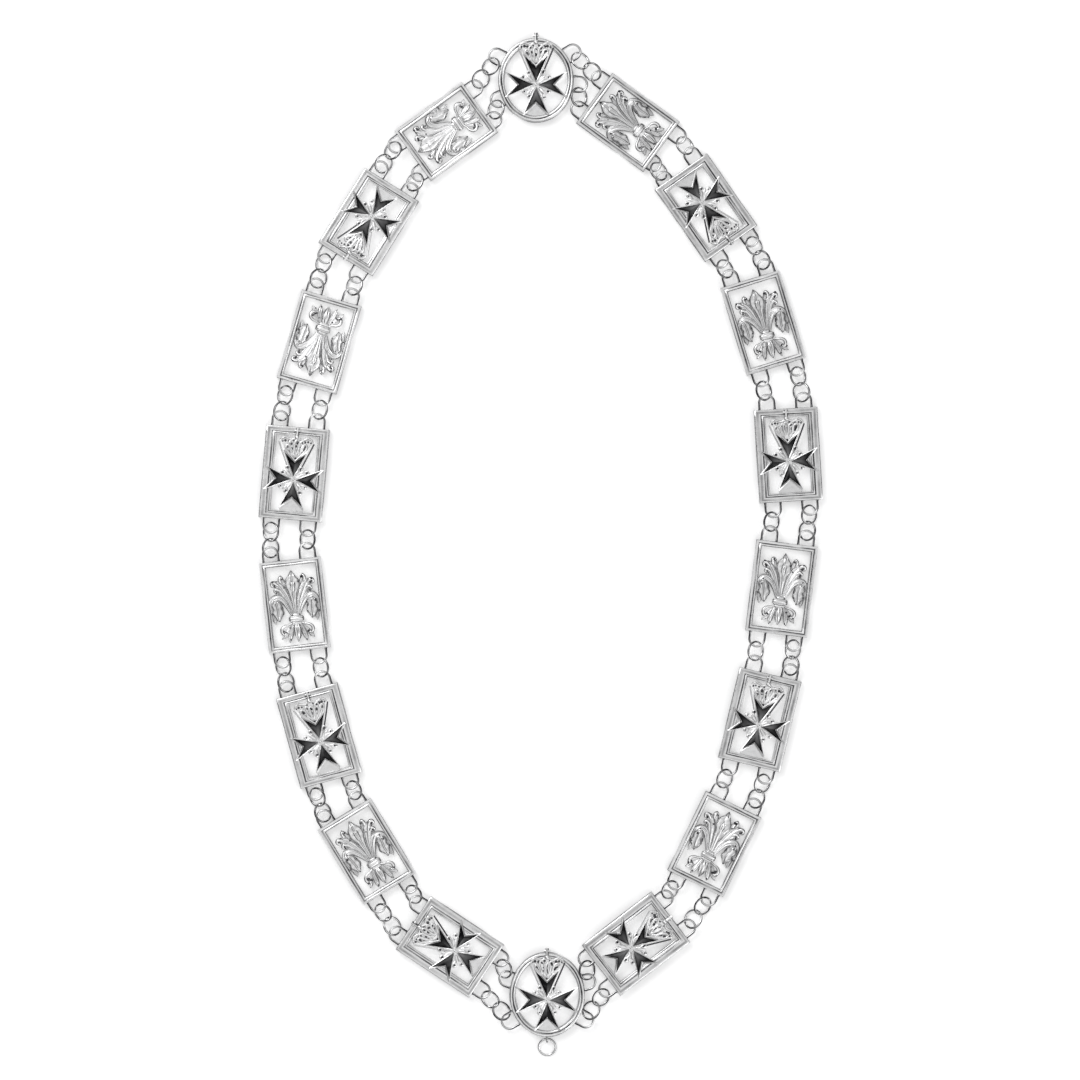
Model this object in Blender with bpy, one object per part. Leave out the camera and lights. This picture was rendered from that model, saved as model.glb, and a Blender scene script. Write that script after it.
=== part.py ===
"""Chain collar of openwork silver plates, laid out flat as a pointed oval.

Down each side, plates with a fleur-de-lis alternate with plates that carry a
crowned Maltese cross. An oval badge joins the two rows at the nape and another
at the front, where a drop ring hangs. Between neighbours, soldered wire lugs
and loose wire rings make an outer and an inner strand.

Shapes are drawn in millimetres and scaled to metres when they become meshes.
Each plate is drawn with its length along Y and its underside at Z = 0.
"""
import math

import bmesh
import bpy
from mathutils import Matrix, Vector

MM = 0.001
SMOOTH_ANGLE = math.radians(50.0)

# Wire of the lugs and rings
WIRE = 1.1
RING_OUTER = 9.4
RING_ROLL = math.radians(38.0)
RING_SEGMENTS = 8
RING_CLEARANCE = 0.02
LUG_WIDTH = 7.8
LUG_REACH = 7.1
LUG_FACING_GAP = 0.6
LUG_SPREAD = 8.3
LUG_ROOT = 0.8
LUG_ARC_SEGMENTS = 4
PULL_SHARE = 0.35
JOINED_OVERLAP = 0.3
ONE_RING_LIMIT = 17.4

# Cross plates
CROSS_WIDTH = 28.6
CROSS_SIDE_RAIL = 5.0
CROSS_END_RAIL = 4.0
CROSS_DROP = 2.8
TIP_RADIUS = 14.3
NOTCH_RADIUS = 8.4
WAIST_RADIUS = 0.9
TIP_SPREAD = math.radians(22.5)
CROSS_BASE = 3.0
CROSS_EDGE = 4.5
CROSS_RIDGE = 5.4
CROWN_BASE = 2.8
CROWN_TOP = 5.0
TREFOIL_BASE = 3.2
TREFOIL_TOP = 4.1

# Fleur plates
FLEUR_WIDTH = 27.8
FLEUR_RAIL = 2.7
LEAF_BASE = 0.5
LEAF_EDGE = 1.7
LEAF_RIDGE = 2.9
BAND_WIDTH = 6.2
BAND_HEIGHT = 3.6
BAND_Y = -5.3
BAND_BASE = 0.3
BAND_TOP = 3.3

# Oval badges
BADGE_HALF_WIDTH = 17.0
BADGE_HALF_LENGTH = 19.0
BADGE_RAIL = 3.0
BADGE_SEGMENTS = 20
BADGE_CROSS_DROP = 2.2
BADGE_TIP_RADIUS = 15.2

# Drop ring and the upright bail that holds it under the front badge
DROP_OUTER = 8.6
DROP_SEGMENTS = 12
BAIL_HEIGHT = 4.0
BAIL_REACH = 3.1
BAIL_MIDDLE = 2.0
DROP_GAP = 0.45

# Rail profiles, from the outer foot over the top to the inner foot:
# share of the rail's width inward, height above the underside
FLEUR_PROFILE = (
    (0.00, 0.0), (0.00, 3.6), (0.12, 4.0), (0.36, 4.0),
    (0.50, 3.1), (0.76, 3.6), (1.00, 2.8), (1.00, 0.0),
)
CROSS_PROFILE = (
    (0.00, 0.0), (0.00, 3.9), (0.06, 4.2), (0.52, 4.2),
    (0.60, 3.4), (0.80, 3.8), (1.00, 2.6), (1.00, 0.0),
)
BADGE_PROFILE = (
    (0.00, 0.0), (0.00, 3.8), (0.14, 4.2), (0.44, 4.2),
    (0.56, 3.5), (0.80, 3.9), (1.00, 2.8), (1.00, 0.0),
)

# Leaves of the fleur-de-lis: the sides it grows on, then stations of x, y and
# half-width from the root to the tip
LEAVES = (
    ((1,), ((0.0, -5.6, 1.0), (0.0, 3.0, 1.4), (0.0, 11.0, 2.4), (0.0, 16.3, 0.1))),
    ((-1, 1), ((0.8, -5.4, 0.7), (2.6, 1.0, 1.1), (5.4, 7.4, 1.5), (8.2, 10.4, 1.4), (10.0, 9.6, 0.1))),
    ((-1, 1), ((1.6, -5.2, 0.7), (4.2, 1.2, 1.2), (7.6, 4.0, 1.8), (10.4, 1.2, 1.9), (8.4, -7.0, 0.1))),
    ((1,), ((0.0, -5.0, 0.9), (0.0, -12.0, 1.6), (0.0, -16.3, 0.1))),
    ((-1, 1), ((0.9, -5.8, 0.7), (3.2, -9.6, 1.1), (5.8, -11.6, 1.2), (7.6, -10.6, 0.1))),
)

# Crown above the cross, right half of its outline from the foot to the finial:
# x from the middle line, y above the middle of the cross
CROWN_OUTLINE = (
    (1.4, 8.0), (7.4, 17.7), (5.4, 18.9), (2.6, 17.9), (0.9, 20.4), (0.6, 23.4),
)

# Trefoil in each angle of the cross: distance along the diagonal, half-width
TREFOIL_OUTLINE = ((0.6, 0.3), (5.4, 1.7), (7.2, 0.8))

# Plates in order from the nape: side, kind, length, x and y of the middle,
# turn of the long axis to the left of +Y in degrees, and whether the motif
# points up (1) or is reversed (-1)
PLATES = (
    ("left", "fleur", 37.4, -42.4, 185.7, -54.0, -1),
    ("left", "cross", 39.6, -77.3, 145.0, -32.0, -1),
    ("left", "fleur", 41.2, -99.6, 91.1, -16.0, -1),
    ("left", "cross", 41.8, -110.8, 32.0, -5.0, 1),
    ("left", "fleur", 41.2, -110.5, -27.2, 6.5, 1),
    ("left", "cross", 41.8, -99.6, -85.8, 15.5, 1),
    ("left", "fleur", 39.6, -78.1, -137.9, 31.5, 1),
    ("left", "cross", 39.6, -40.8, -180.8, 56.5, 1),
    ("right", "fleur", 37.4, 39.2, 189.8, 54.0, 1),
    ("right", "cross", 39.6, 74.3, 151.5, 35.0, -1),
    ("right", "fleur", 41.2, 100.0, 99.7, 17.0, 1),
    ("right", "cross", 41.8, 111.3, 40.3, 3.5, 1),
    ("right", "fleur", 41.2, 108.3, -19.7, -7.0, 1),
    ("right", "cross", 41.8, 98.5, -78.6, -13.5, 1),
    ("right", "fleur", 39.6, 78.1, -134.5, -26.0, 1),
    ("right", "cross", 39.6, 42.8, -179.3, -52.5, 1),
)

# Badges: name, x and y of the middle
BADGES = {
    "nape": (-2.1, 208.8),
    "front": (2.9, -202.2),
}

# Lugs on the badges: direction from the badge's middle in degrees
BADGE_LUGS = {
    ("nape", "left", "outer"): 148.0,
    ("nape", "left", "inner"): 208.0,
    ("nape", "right", "outer"): 38.0,
    ("nape", "right", "inner"): -6.0,
    ("front", "left", "outer"): 216.0,
    ("front", "left", "inner"): 158.0,
    ("front", "right", "outer"): -34.0,
    ("front", "right", "inner"): 18.0,
}


def clear_scene():
    """Remove every object that a new Blender file starts with."""
    for old in list(bpy.data.objects):
        bpy.data.objects.remove(old, do_unlink=True)


def make_metal(name, colour, roughness):
    """Make a metallic material."""
    material = bpy.data.materials.new(name)
    material.use_nodes = True
    shader = material.node_tree.nodes["Principled BSDF"]
    shader.inputs["Base Color"].default_value = (*colour, 1.0)
    shader.inputs["Metallic"].default_value = 1.0
    shader.inputs["Roughness"].default_value = roughness
    return material


def bridge(mesh, first, second):
    """Join two loops of as many vertices with a band of quads."""
    count = len(first)
    for i in range(count):
        j = (i + 1) % count
        mesh.faces.new((first[i], first[j], second[j], second[i]))


def as_object(name, mesh):
    """Turn a bmesh drawn in millimetres into an object in metres."""
    bmesh.ops.recalc_face_normals(mesh, faces=mesh.faces)
    bmesh.ops.scale(mesh, vec=(MM, MM, MM), verts=mesh.verts)
    data = bpy.data.meshes.new(name)
    mesh.to_mesh(data)
    mesh.free()
    made = bpy.data.objects.new(name, data)
    bpy.context.scene.collection.objects.link(made)
    return made


def moulding(outline, profile):
    """Sweep a rail's profile round a closed outline.

    outline gives the loop of points at a share of the rail's width inward.
    """
    mesh = bmesh.new()
    loops = []
    for across, height in profile:
        loops.append([mesh.verts.new((x, y, height)) for x, y in outline(across)])
    for i, loop in enumerate(loops):
        bridge(mesh, loop, loops[(i + 1) % len(loops)])
    return as_object("moulding", mesh)


def rectangle(width, length, side_rail, end_rail):
    """Return a function that gives a rectangle's corners at a share of its rails inward."""
    def corners(across):
        x = width / 2 - across * side_rail
        y = length / 2 - across * end_rail
        return ((-x, -y), (x, -y), (x, y), (-x, y))
    return corners


def oval(half_width, half_length, rail, segments):
    """Return a function that gives points round an oval at a share of its rail inward."""
    def points(across):
        loop = []
        for i in range(segments):
            angle = math.tau * i / segments
            x = (half_width - across * rail) * math.cos(angle)
            y = (half_length - across * rail) * math.sin(angle)
            loop.append((x, y))
        return loop
    return points


def slab(outline, low, high):
    """Extrude a flat outline between two heights."""
    mesh = bmesh.new()
    face = mesh.faces.new([mesh.verts.new((x, y, low)) for x, y in outline])
    top = bmesh.ops.extrude_face_region(mesh, geom=[face])["geom"]
    raised = [item for item in top if isinstance(item, bmesh.types.BMVert)]
    bmesh.ops.translate(mesh, vec=(0.0, 0.0, high - low), verts=raised)
    return as_object("slab", mesh)


def sweep(stations, closed):
    """Sweep a four-cornered section along a line that lies flat.

    A station is x, y, half-width, and the heights of its top, edges and underside.
    """
    mesh = bmesh.new()
    sections = []
    count = len(stations)
    for i, (x, y, half_width, top, edge, under) in enumerate(stations):
        before = stations[(i - 1) % count] if closed else stations[max(i - 1, 0)]
        after = stations[(i + 1) % count] if closed else stations[min(i + 1, count - 1)]
        along = Vector((after[0] - before[0], after[1] - before[1])).normalized()
        across = Vector((along.y, -along.x)) * half_width
        corners = (
            (x + across.x, y + across.y, edge),
            (x, y, top),
            (x - across.x, y - across.y, edge),
            (x, y, under),
        )
        sections.append([mesh.verts.new(corner) for corner in corners])
    for first, second in zip(sections, sections[1:]):
        bridge(mesh, first, second)
    if closed:
        bridge(mesh, sections[-1], sections[0])
    else:
        mesh.faces.new(sections[0])
        mesh.faces.new(sections[-1])
    return as_object("sweep", mesh)


def wire(path, closed):
    """Make round wire along a flat path."""
    radius = WIRE / 2
    return sweep([(x, y, radius, radius, 0.0, -radius) for x, y in path], closed)


def wire_ring(outer, segments):
    """Make a closed ring of wire about the origin, flat in the XY plane."""
    radius = (outer - WIRE) / 2
    path = []
    for i in range(segments):
        angle = math.tau * i / segments
        path.append((radius * math.cos(angle), radius * math.sin(angle)))
    return wire(path, closed=True)


def wire_lug(width, reach):
    """Make a half-round lug that stands out along +X from its root at X = 0."""
    radius = (width - WIRE) / 2
    bow = reach - WIRE / 2 - radius
    path = [(-LUG_ROOT, -radius)]
    for i in range(LUG_ARC_SEGMENTS + 1):
        angle = math.pi * (i / LUG_ARC_SEGMENTS - 0.5)
        path.append((bow + radius * math.cos(angle), radius * math.sin(angle)))
    path.append((-LUG_ROOT, radius))
    return wire(path, closed=False)


def place(made, matrix):
    """Move an object's mesh by a matrix whose lengths are in millimetres."""
    made.data.transform(Matrix.Scale(MM, 4) @ matrix @ Matrix.Scale(1 / MM, 4))
    return made


def fuse(name, shapes):
    """Unite overlapping shapes into one mesh and remove them."""
    group = bpy.data.collections.new(name)
    for shape in shapes[1:]:
        group.objects.link(shape)
    if len(shapes) > 1:
        union = shapes[0].modifiers.new("union", "BOOLEAN")
        union.operation = "UNION"
        union.operand_type = "COLLECTION"
        union.collection = group
        union.solver = "EXACT"
    evaluated = shapes[0].evaluated_get(bpy.context.evaluated_depsgraph_get())
    data = bpy.data.meshes.new_from_object(evaluated)
    data.name = name
    data.shade_smooth()
    data.set_sharp_from_angle(angle=SMOOTH_ANGLE)
    for shape in shapes:
        bpy.data.objects.remove(shape, do_unlink=True)
    bpy.data.collections.remove(group)
    return data


def leaf(stations, mirror):
    """Make a leaf with a raised middle vein, which gets thinner towards its tip."""
    rows = []
    for x, y, half_width in stations:
        thick = min(1.0, half_width)
        top = LEAF_EDGE + (LEAF_RIDGE - LEAF_EDGE) * thick
        under = LEAF_EDGE - (LEAF_EDGE - LEAF_BASE) * thick
        rows.append((mirror * x, y, half_width, top, LEAF_EDGE, under))
    return sweep(rows, closed=False)


def fleur_shapes():
    """Make the leaves and the band of the fleur-de-lis."""
    shapes = []
    for sides, stations in LEAVES:
        for side in sides:
            shapes.append(leaf(stations, side))
    x = BAND_WIDTH / 2
    y = BAND_HEIGHT / 2
    band = [(-x, BAND_Y - y), (x, BAND_Y - y), (x, BAND_Y + y), (-x, BAND_Y + y)]
    shapes.append(slab(band, BAND_BASE, BAND_TOP))
    return shapes


def maltese_cross(tip_radius):
    """Make the eight-pointed cross with a ridge along the middle of each arm."""
    mesh = bmesh.new()
    outline = []
    for arm in range(4):
        middle = arm * math.pi / 2
        outline.append((WAIST_RADIUS, middle - math.pi / 4))
        outline.append((tip_radius, middle - TIP_SPREAD))
        outline.append((NOTCH_RADIUS, middle))
        outline.append((tip_radius, middle + TIP_SPREAD))
    low = []
    edge = []
    for radius, angle in outline:
        x = radius * math.cos(angle)
        y = radius * math.sin(angle)
        low.append(mesh.verts.new((x, y, CROSS_BASE)))
        edge.append(mesh.verts.new((x, y, CROSS_EDGE)))
    mesh.faces.new(low)
    bridge(mesh, low, edge)
    peak = mesh.verts.new((0.0, 0.0, CROSS_RIDGE))
    for i, vertex in enumerate(edge):
        mesh.faces.new((vertex, edge[(i + 1) % len(edge)], peak))
    return as_object("cross", mesh)


def crowned_cross_shapes(drop, tip_radius):
    """Make the cross, its crown and the trefoils, with the cross below the middle."""
    left = [(-x, y) for x, y in reversed(CROWN_OUTLINE)]
    shapes = [maltese_cross(tip_radius), slab(list(CROWN_OUTLINE) + left, CROWN_BASE, CROWN_TOP)]
    for quarter in range(4):
        near = [(along, -half) for along, half in TREFOIL_OUTLINE]
        far = [(along, half) for along, half in reversed(TREFOIL_OUTLINE)]
        trefoil = slab(near + far, TREFOIL_BASE, TREFOIL_TOP)
        turn = math.pi / 4 + quarter * math.pi / 2
        shapes.append(place(trefoil, Matrix.Rotation(turn, 4, "Z")))
    for shape in shapes:
        place(shape, Matrix.Translation((0.0, -drop, 0.0)))
    return shapes


def lug_height():
    """Return the height of the lugs, level with the middles of the rolled rings."""
    radius = (RING_OUTER - WIRE) / 2
    return radius * math.sin(RING_ROLL) + WIRE / 2 + RING_CLEARANCE


def badge_rim(angle):
    """Return the point of a badge's rim in a direction, and the rim's outward angle there."""
    x = math.cos(angle) / BADGE_HALF_WIDTH
    y = math.sin(angle) / BADGE_HALF_LENGTH
    reach = 1 / math.hypot(x, y)
    outward = math.atan2(y / BADGE_HALF_LENGTH, x / BADGE_HALF_WIDTH)
    return Vector((reach * math.cos(angle), reach * math.sin(angle))), outward


def badge_lug(badge, side, lane):
    """Describe the lug on a badge that starts or ends a strand."""
    point, outward = badge_rim(math.radians(BADGE_LUGS[badge, side, lane]))
    return {"owner": badge + "_badge", "root": Vector(BADGES[badge]) + point, "heading": outward}


def plate_lug(row, end, lane):
    """Describe a lug on a plate's end, +1 for the end nearer the nape."""
    outward = -1 if row["side"] == "left" else 1
    across = outward if lane == "outer" else -outward
    turn = math.radians(row["turn"])
    local = Vector((across * LUG_SPREAD, end * row["length"] / 2))
    root = Vector((row["x"], row["y"])) + Matrix.Rotation(turn, 2) @ local
    return {"owner": row["name"], "root": root, "heading": turn + end * math.pi / 2}


def chain(side):
    """Return the plates of one side in order, each as a dictionary of its columns."""
    columns = ("side", "kind", "length", "x", "y", "turn", "upright")
    rows = [dict(zip(columns, row)) for row in PLATES if row[0] == side]
    for number, row in enumerate(rows, start=1):
        row["name"] = f"{row['kind']}_plate_{side}_{number}"
    return rows


def pull_point(lug, reach):
    """Return the point inside a lug that the strand's straight line passes through."""
    angle = lug["heading"]
    return lug["root"] + Vector((math.cos(angle), math.sin(angle))) * reach * PULL_SHARE


def list_strands():
    """Describe every strand: its two lugs, how far they reach and where they are pulled."""
    strands = []
    for side in ("left", "right"):
        rows = chain(side)
        for lane in ("outer", "inner"):
            starts = [badge_lug("nape", side, lane)] + [plate_lug(row, -1, lane) for row in rows]
            ends = [plate_lug(row, 1, lane) for row in rows] + [badge_lug("front", side, lane)]
            for number, lugs in enumerate(zip(starts, ends), start=1):
                name = f"rings_{side}_{lane}_{number}"
                reach = min(LUG_REACH, ((lugs[1]["root"] - lugs[0]["root"]).length - LUG_FACING_GAP) / 2)
                pulls = [pull_point(lug, reach) for lug in lugs]
                lean = RING_ROLL if side == "left" else -RING_ROLL
                strands.append({"name": name, "lugs": lugs, "pulls": pulls, "reach": reach, "lean": lean})
    return strands


def lug_shapes(owner, x, y, turn, strands):
    """Make the lugs of one piece in the piece's own frame."""
    shapes = []
    for strand in strands:
        for lug in strand["lugs"]:
            if lug["owner"] == owner:
                root = Matrix.Rotation(-turn, 2) @ (lug["root"] - Vector((x, y)))
                move = Matrix.Translation((root.x, root.y, lug_height()))
                aim = Matrix.Rotation(lug["heading"] - turn, 4, "Z")
                shapes.append(place(wire_lug(LUG_WIDTH, strand["reach"]), move @ aim))
    return shapes


def add_piece(name, data, material, location, rotation):
    """Add a named piece from a mesh, at a place in millimetres."""
    piece = bpy.data.objects.new(name, data)
    bpy.context.scene.collection.objects.link(piece)
    piece.location = Vector(location) * MM
    piece.rotation_euler = rotation
    data.materials.append(material)


def add_plate(row, material, strands):
    """Add one plate: its moulded frame, its motif and two lugs on each short end."""
    if row["kind"] == "cross":
        outline = rectangle(CROSS_WIDTH, row["length"], CROSS_SIDE_RAIL, CROSS_END_RAIL)
        shapes = [moulding(outline, CROSS_PROFILE)] + crowned_cross_shapes(CROSS_DROP, TIP_RADIUS)
    else:
        outline = rectangle(FLEUR_WIDTH, row["length"], FLEUR_RAIL, FLEUR_RAIL)
        shapes = [moulding(outline, FLEUR_PROFILE)] + fleur_shapes()
    turn = math.radians(row["turn"])
    if row["upright"] < 0:
        turn += math.pi
    shapes += lug_shapes(row["name"], row["x"], row["y"], turn, strands)
    place_at = (row["x"], row["y"], 0.0)
    add_piece(row["name"], fuse(row["name"], shapes), material, place_at, (0.0, 0.0, turn))


def add_badge(badge, material, strands):
    """Add one oval badge with its lugs, and the drop ring's bail on the front one."""
    name = badge + "_badge"
    x, y = BADGES[badge]
    outline = oval(BADGE_HALF_WIDTH, BADGE_HALF_LENGTH, BADGE_RAIL, BADGE_SEGMENTS)
    shapes = [moulding(outline, BADGE_PROFILE)] + crowned_cross_shapes(BADGE_CROSS_DROP, BADGE_TIP_RADIUS)
    shapes += lug_shapes(name, x, y, 0.0, strands)
    if badge == "front":
        upright = Matrix.Rotation(-math.pi / 2, 4, "Z") @ Matrix.Rotation(math.pi / 2, 4, "X")
        move = Matrix.Translation((0.0, -BADGE_HALF_LENGTH, BAIL_MIDDLE))
        shapes.append(place(wire_lug(BAIL_HEIGHT, BAIL_REACH), move @ upright))
    add_piece(name, fuse(name, shapes), material, (x, y, 0.0), (0.0, 0.0, 0.0))


def add_strand(strand, material):
    """Add the loose rings of one strand, joined into one piece where they touch."""
    start, end = strand["pulls"]
    middle = (start + end) / 2
    heading = math.atan2(end.y - start.y, end.x - start.x)
    rings = [(0.0, strand["lean"])]
    roots = [lug["root"] for lug in strand["lugs"]]
    if (roots[1] - roots[0]).length > ONE_RING_LIMIT:
        pitch = RING_OUTER - WIRE - (1 - JOINED_OVERLAP) * WIRE
        rings = [(-pitch / 2, strand["lean"]), (pitch / 2, -strand["lean"])]
    shapes = []
    for along, roll in rings:
        local = Matrix.Translation((along, 0.0, 0.0)) @ Matrix.Rotation(roll, 4, "X")
        shapes.append(place(wire_ring(RING_OUTER, RING_SEGMENTS), local))
    place_at = (middle.x, middle.y, lug_height())
    add_piece(strand["name"], fuse(strand["name"], shapes), material, place_at, (0.0, 0.0, heading))


def add_drop_ring(material):
    """Add the ring that passes through the bail and leans down to rest beyond it."""
    radius = (DROP_OUTER - WIRE) / 2
    near = BADGE_HALF_LENGTH + BAIL_REACH - WIRE - DROP_GAP - WIRE / 2
    lean = math.asin((BAIL_MIDDLE - WIRE / 2 - RING_CLEARANCE) / (2 * radius))
    x, y = BADGES["front"]
    place_at = (x, y - near - radius * math.cos(lean), BAIL_MIDDLE - radius * math.sin(lean))
    data = fuse("drop_ring", [wire_ring(DROP_OUTER, DROP_SEGMENTS)])
    add_piece("drop_ring", data, material, place_at, (lean, 0.0, 0.0))


def build_collar():
    """Build every piece of the collar."""
    clear_scene()
    silver = make_metal("silver", (0.80, 0.80, 0.81), 0.3)
    wire_silver = make_metal("wire_silver", (0.84, 0.84, 0.85), 0.22)
    strands = list_strands()
    for side in ("left", "right"):
        for row in chain(side):
            add_plate(row, silver, strands)
    for badge in BADGES:
        add_badge(badge, silver, strands)
    for strand in strands:
        add_strand(strand, wire_silver)
    add_drop_ring(wire_silver)


build_collar()
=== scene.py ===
import math
import random

import bmesh
import bpy
import numpy as np
from mathutils import Matrix, Vector


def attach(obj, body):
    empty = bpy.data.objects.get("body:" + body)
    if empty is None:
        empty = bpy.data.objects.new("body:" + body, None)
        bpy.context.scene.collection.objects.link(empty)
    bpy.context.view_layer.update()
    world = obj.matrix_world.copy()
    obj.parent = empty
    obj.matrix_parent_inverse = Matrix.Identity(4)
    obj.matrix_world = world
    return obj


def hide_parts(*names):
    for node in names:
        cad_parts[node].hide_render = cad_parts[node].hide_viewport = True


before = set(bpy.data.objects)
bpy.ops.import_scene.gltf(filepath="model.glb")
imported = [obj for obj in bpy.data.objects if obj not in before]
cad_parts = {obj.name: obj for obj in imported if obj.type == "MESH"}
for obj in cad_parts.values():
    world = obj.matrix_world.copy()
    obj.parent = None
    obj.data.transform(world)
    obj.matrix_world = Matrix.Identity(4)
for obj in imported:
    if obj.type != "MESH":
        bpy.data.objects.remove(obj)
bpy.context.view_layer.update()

MM = 0.001

# Wire of the lugs and rings, in millimetres as everywhere below
WIRE = 1.1
RING_OUTER = 9.4
RING_ROLL = math.radians(38.0)
RING_CLEARANCE = 0.02
LINK_OVERLAP = 0.04
RING_STEPS = 44
DROP_STEPS = 48
WIRE_SIDES = 12
LUG_WIDTH = 7.8
LUG_REACH = 7.1
LUG_FACING_GAP = 0.6
LUG_SPREAD = 8.3
LUG_ROOT = 0.8
LUG_SOLDER = 0.2
LUG_BOW_STEPS = 15
PULL_SHARE = 0.35
ONE_RING_LIMIT = 17.4
# Painted shade on a wire: where it starts on the underside, and how wide its edges
# are there and on its flank
UNDER_START = 0.1
UNDER_EDGE = 0.4
FLANK_EDGE = 0.45

# Plates
CROSS_WIDTH = 28.6
CROSS_SIDE_RAIL = 5.0
CROSS_END_RAIL = 4.0
CROSS_DROP = 2.8
TIP_RADIUS = 14.3
NOTCH_RADIUS = 8.4
TIP_SPREAD = math.radians(22.5)
FLEUR_WIDTH = 27.8
FLEUR_RAIL = 2.7
RAIL_STEPS = 14
RAIL_LIMIT = 4.24

# Badges
BADGE_HALF_WIDTH = 17.0
BADGE_HALF_LENGTH = 19.0
BADGE_RAIL = 3.0
BADGE_STEPS = 96
BADGE_CROSS_DROP = 2.2
BADGE_TIP_RADIUS = 15.2
DROP_OUTER = 8.6
BAIL_HEIGHT = 4.0
BAIL_REACH = 3.1
BAIL_MIDDLE = 2.0
DROP_GAP = 0.45

# Side, kind, length, x and y of the middle, turn in degrees, motif up or reversed
PLATES = (
    ("left", "fleur", 37.4, -42.4, 185.7, -54.0, -1),
    ("left", "cross", 39.6, -77.3, 145.0, -32.0, -1),
    ("left", "fleur", 41.2, -99.6, 91.1, -16.0, -1),
    ("left", "cross", 41.8, -110.8, 32.0, -5.0, 1),
    ("left", "fleur", 41.2, -110.5, -27.2, 6.5, 1),
    ("left", "cross", 41.8, -99.6, -85.8, 15.5, 1),
    ("left", "fleur", 39.6, -78.1, -137.9, 31.5, 1),
    ("left", "cross", 39.6, -40.8, -180.8, 56.5, 1),
    ("right", "fleur", 37.4, 39.2, 189.8, 54.0, 1),
    ("right", "cross", 39.6, 74.3, 151.5, 35.0, -1),
    ("right", "fleur", 41.2, 100.0, 99.7, 17.0, 1),
    ("right", "cross", 41.8, 111.3, 40.3, 3.5, 1),
    ("right", "fleur", 41.2, 108.3, -19.7, -7.0, 1),
    ("right", "cross", 41.8, 98.5, -78.6, -13.5, 1),
    ("right", "fleur", 39.6, 78.1, -134.5, -26.0, 1),
    ("right", "cross", 39.6, 42.8, -179.3, -52.5, 1),
)
# Painted shade by side: how much duller than the badges the plates of each side are, the right
# side darker as less light falls on it, and how far that varies at random
SIDE_SHADE = {"left": -0.04, "right": 0.05}
SHADE_SPREAD = 0.02
# Middle of each badge, and the direction of its lugs in degrees
BADGES = {"nape": (-2.1, 208.8), "front": (2.9, -202.2)}
BADGE_LUGS = {
    ("nape", "left", "outer"): 148.0,
    ("nape", "left", "inner"): 208.0,
    ("nape", "right", "outer"): 38.0,
    ("nape", "right", "inner"): -6.0,
    ("front", "left", "outer"): 216.0,
    ("front", "left", "inner"): 158.0,
    ("front", "right", "outer"): -34.0,
    ("front", "right", "inner"): 18.0,
}

# Rail profiles: share of the rail's width inward, height, how dark; the dark of the walls, the
# edge chamfers and the underside is painted shade, the dark in the grooves patina
FLEUR_PROFILE = (
    (0.00, 0.00, 0.9), (0.00, 3.40, 0.8), (0.03, 3.64, 0.5), (0.09, 3.82, 0.05),
    (0.22, 3.84, 0.0), (0.30, 3.80, 0.12), (0.40, 3.78, 0.16), (0.45, 3.72, 0.6),
    (0.50, 3.68, 0.95), (0.57, 3.68, 0.95), (0.62, 3.74, 0.4), (0.67, 3.82, 0.0),
    (0.76, 3.86, 0.0), (0.85, 3.82, 0.0), (0.91, 3.66, 0.2), (1.00, 3.30, 0.55),
    (1.00, 0.20, 0.8), (0.97, 0.00, 0.8),
)
CROSS_PROFILE = (
    (0.00, 0.00, 0.9), (0.00, 3.70, 0.8), (0.01, 3.86, 0.4), (0.04, 4.00, 0.0),
    (0.12, 4.13, 0.0), (0.17, 4.13, 0.15), (0.30, 4.10, 0.42), (0.42, 4.12, 0.25),
    (0.47, 4.15, 0.0), (0.56, 4.12, 0.0), (0.585, 3.98, 0.5), (0.61, 3.86, 0.95),
    (0.66, 3.84, 0.95), (0.69, 3.90, 0.3), (0.71, 3.96, 0.02), (0.78, 3.96, 0.02),
    (0.81, 3.84, 0.6), (0.86, 3.78, 0.7), (0.89, 3.82, 0.15), (0.96, 3.78, 0.05),
    (0.98, 3.68, 0.2), (1.00, 3.10, 0.5), (1.00, 0.20, 0.8), (0.97, 0.00, 0.8),
)
BADGE_PROFILE = (
    (0.00, 0.00, 0.9), (0.00, 3.50, 0.8), (0.01, 3.66, 0.5), (0.10, 4.04, 0.1),
    (0.18, 4.18, 0.0), (0.30, 4.20, 0.0), (0.40, 4.12, 0.1), (0.45, 3.90, 0.6),
    (0.50, 3.76, 0.95), (0.57, 3.78, 0.95), (0.62, 3.90, 0.2), (0.68, 3.94, 0.0),
    (0.80, 3.86, 0.0), (0.88, 3.70, 0.1), (0.95, 3.44, 0.3), (1.00, 3.00, 0.6),
    (1.00, 0.20, 0.8), (0.97, 0.00, 0.8),
)

# Cross: how far its corners move for an inset, radii of its waist, then its slabs, wires and enamel
NOTCH_INSET = 1.45
TIP_INSET = 2.6
FOOT_INSET = 1.6
WAIST_RADIUS = 0.9
BODY_WAIST_RADIUS = 0.95
WEB_HEIGHTS = (2.4, 3.1)
WEB_FOOT = (0.3, -1.4)
BODY_HEIGHTS = (3.0, 4.3)
ARM_WIRE_HEIGHT = 4.36
ARM_WIRE_INSET = 0.17
ARM_WIRE_REACH = 0.4
ARM_WIRE_STATIONS = (0.03, 0.3, 0.65, 0.97)
ENAMEL_BOTTOM = 4.1
ENAMEL_SLOPE = 0.18
ENAMEL_RISE = 0.85
ENAMEL_INSET = 0.22
ENAMEL_TIP_GAP = 0.6
ENAMEL_START = 0.005
ENAMEL_ROWS = 17
ENAMEL_COLUMNS = 7

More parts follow.
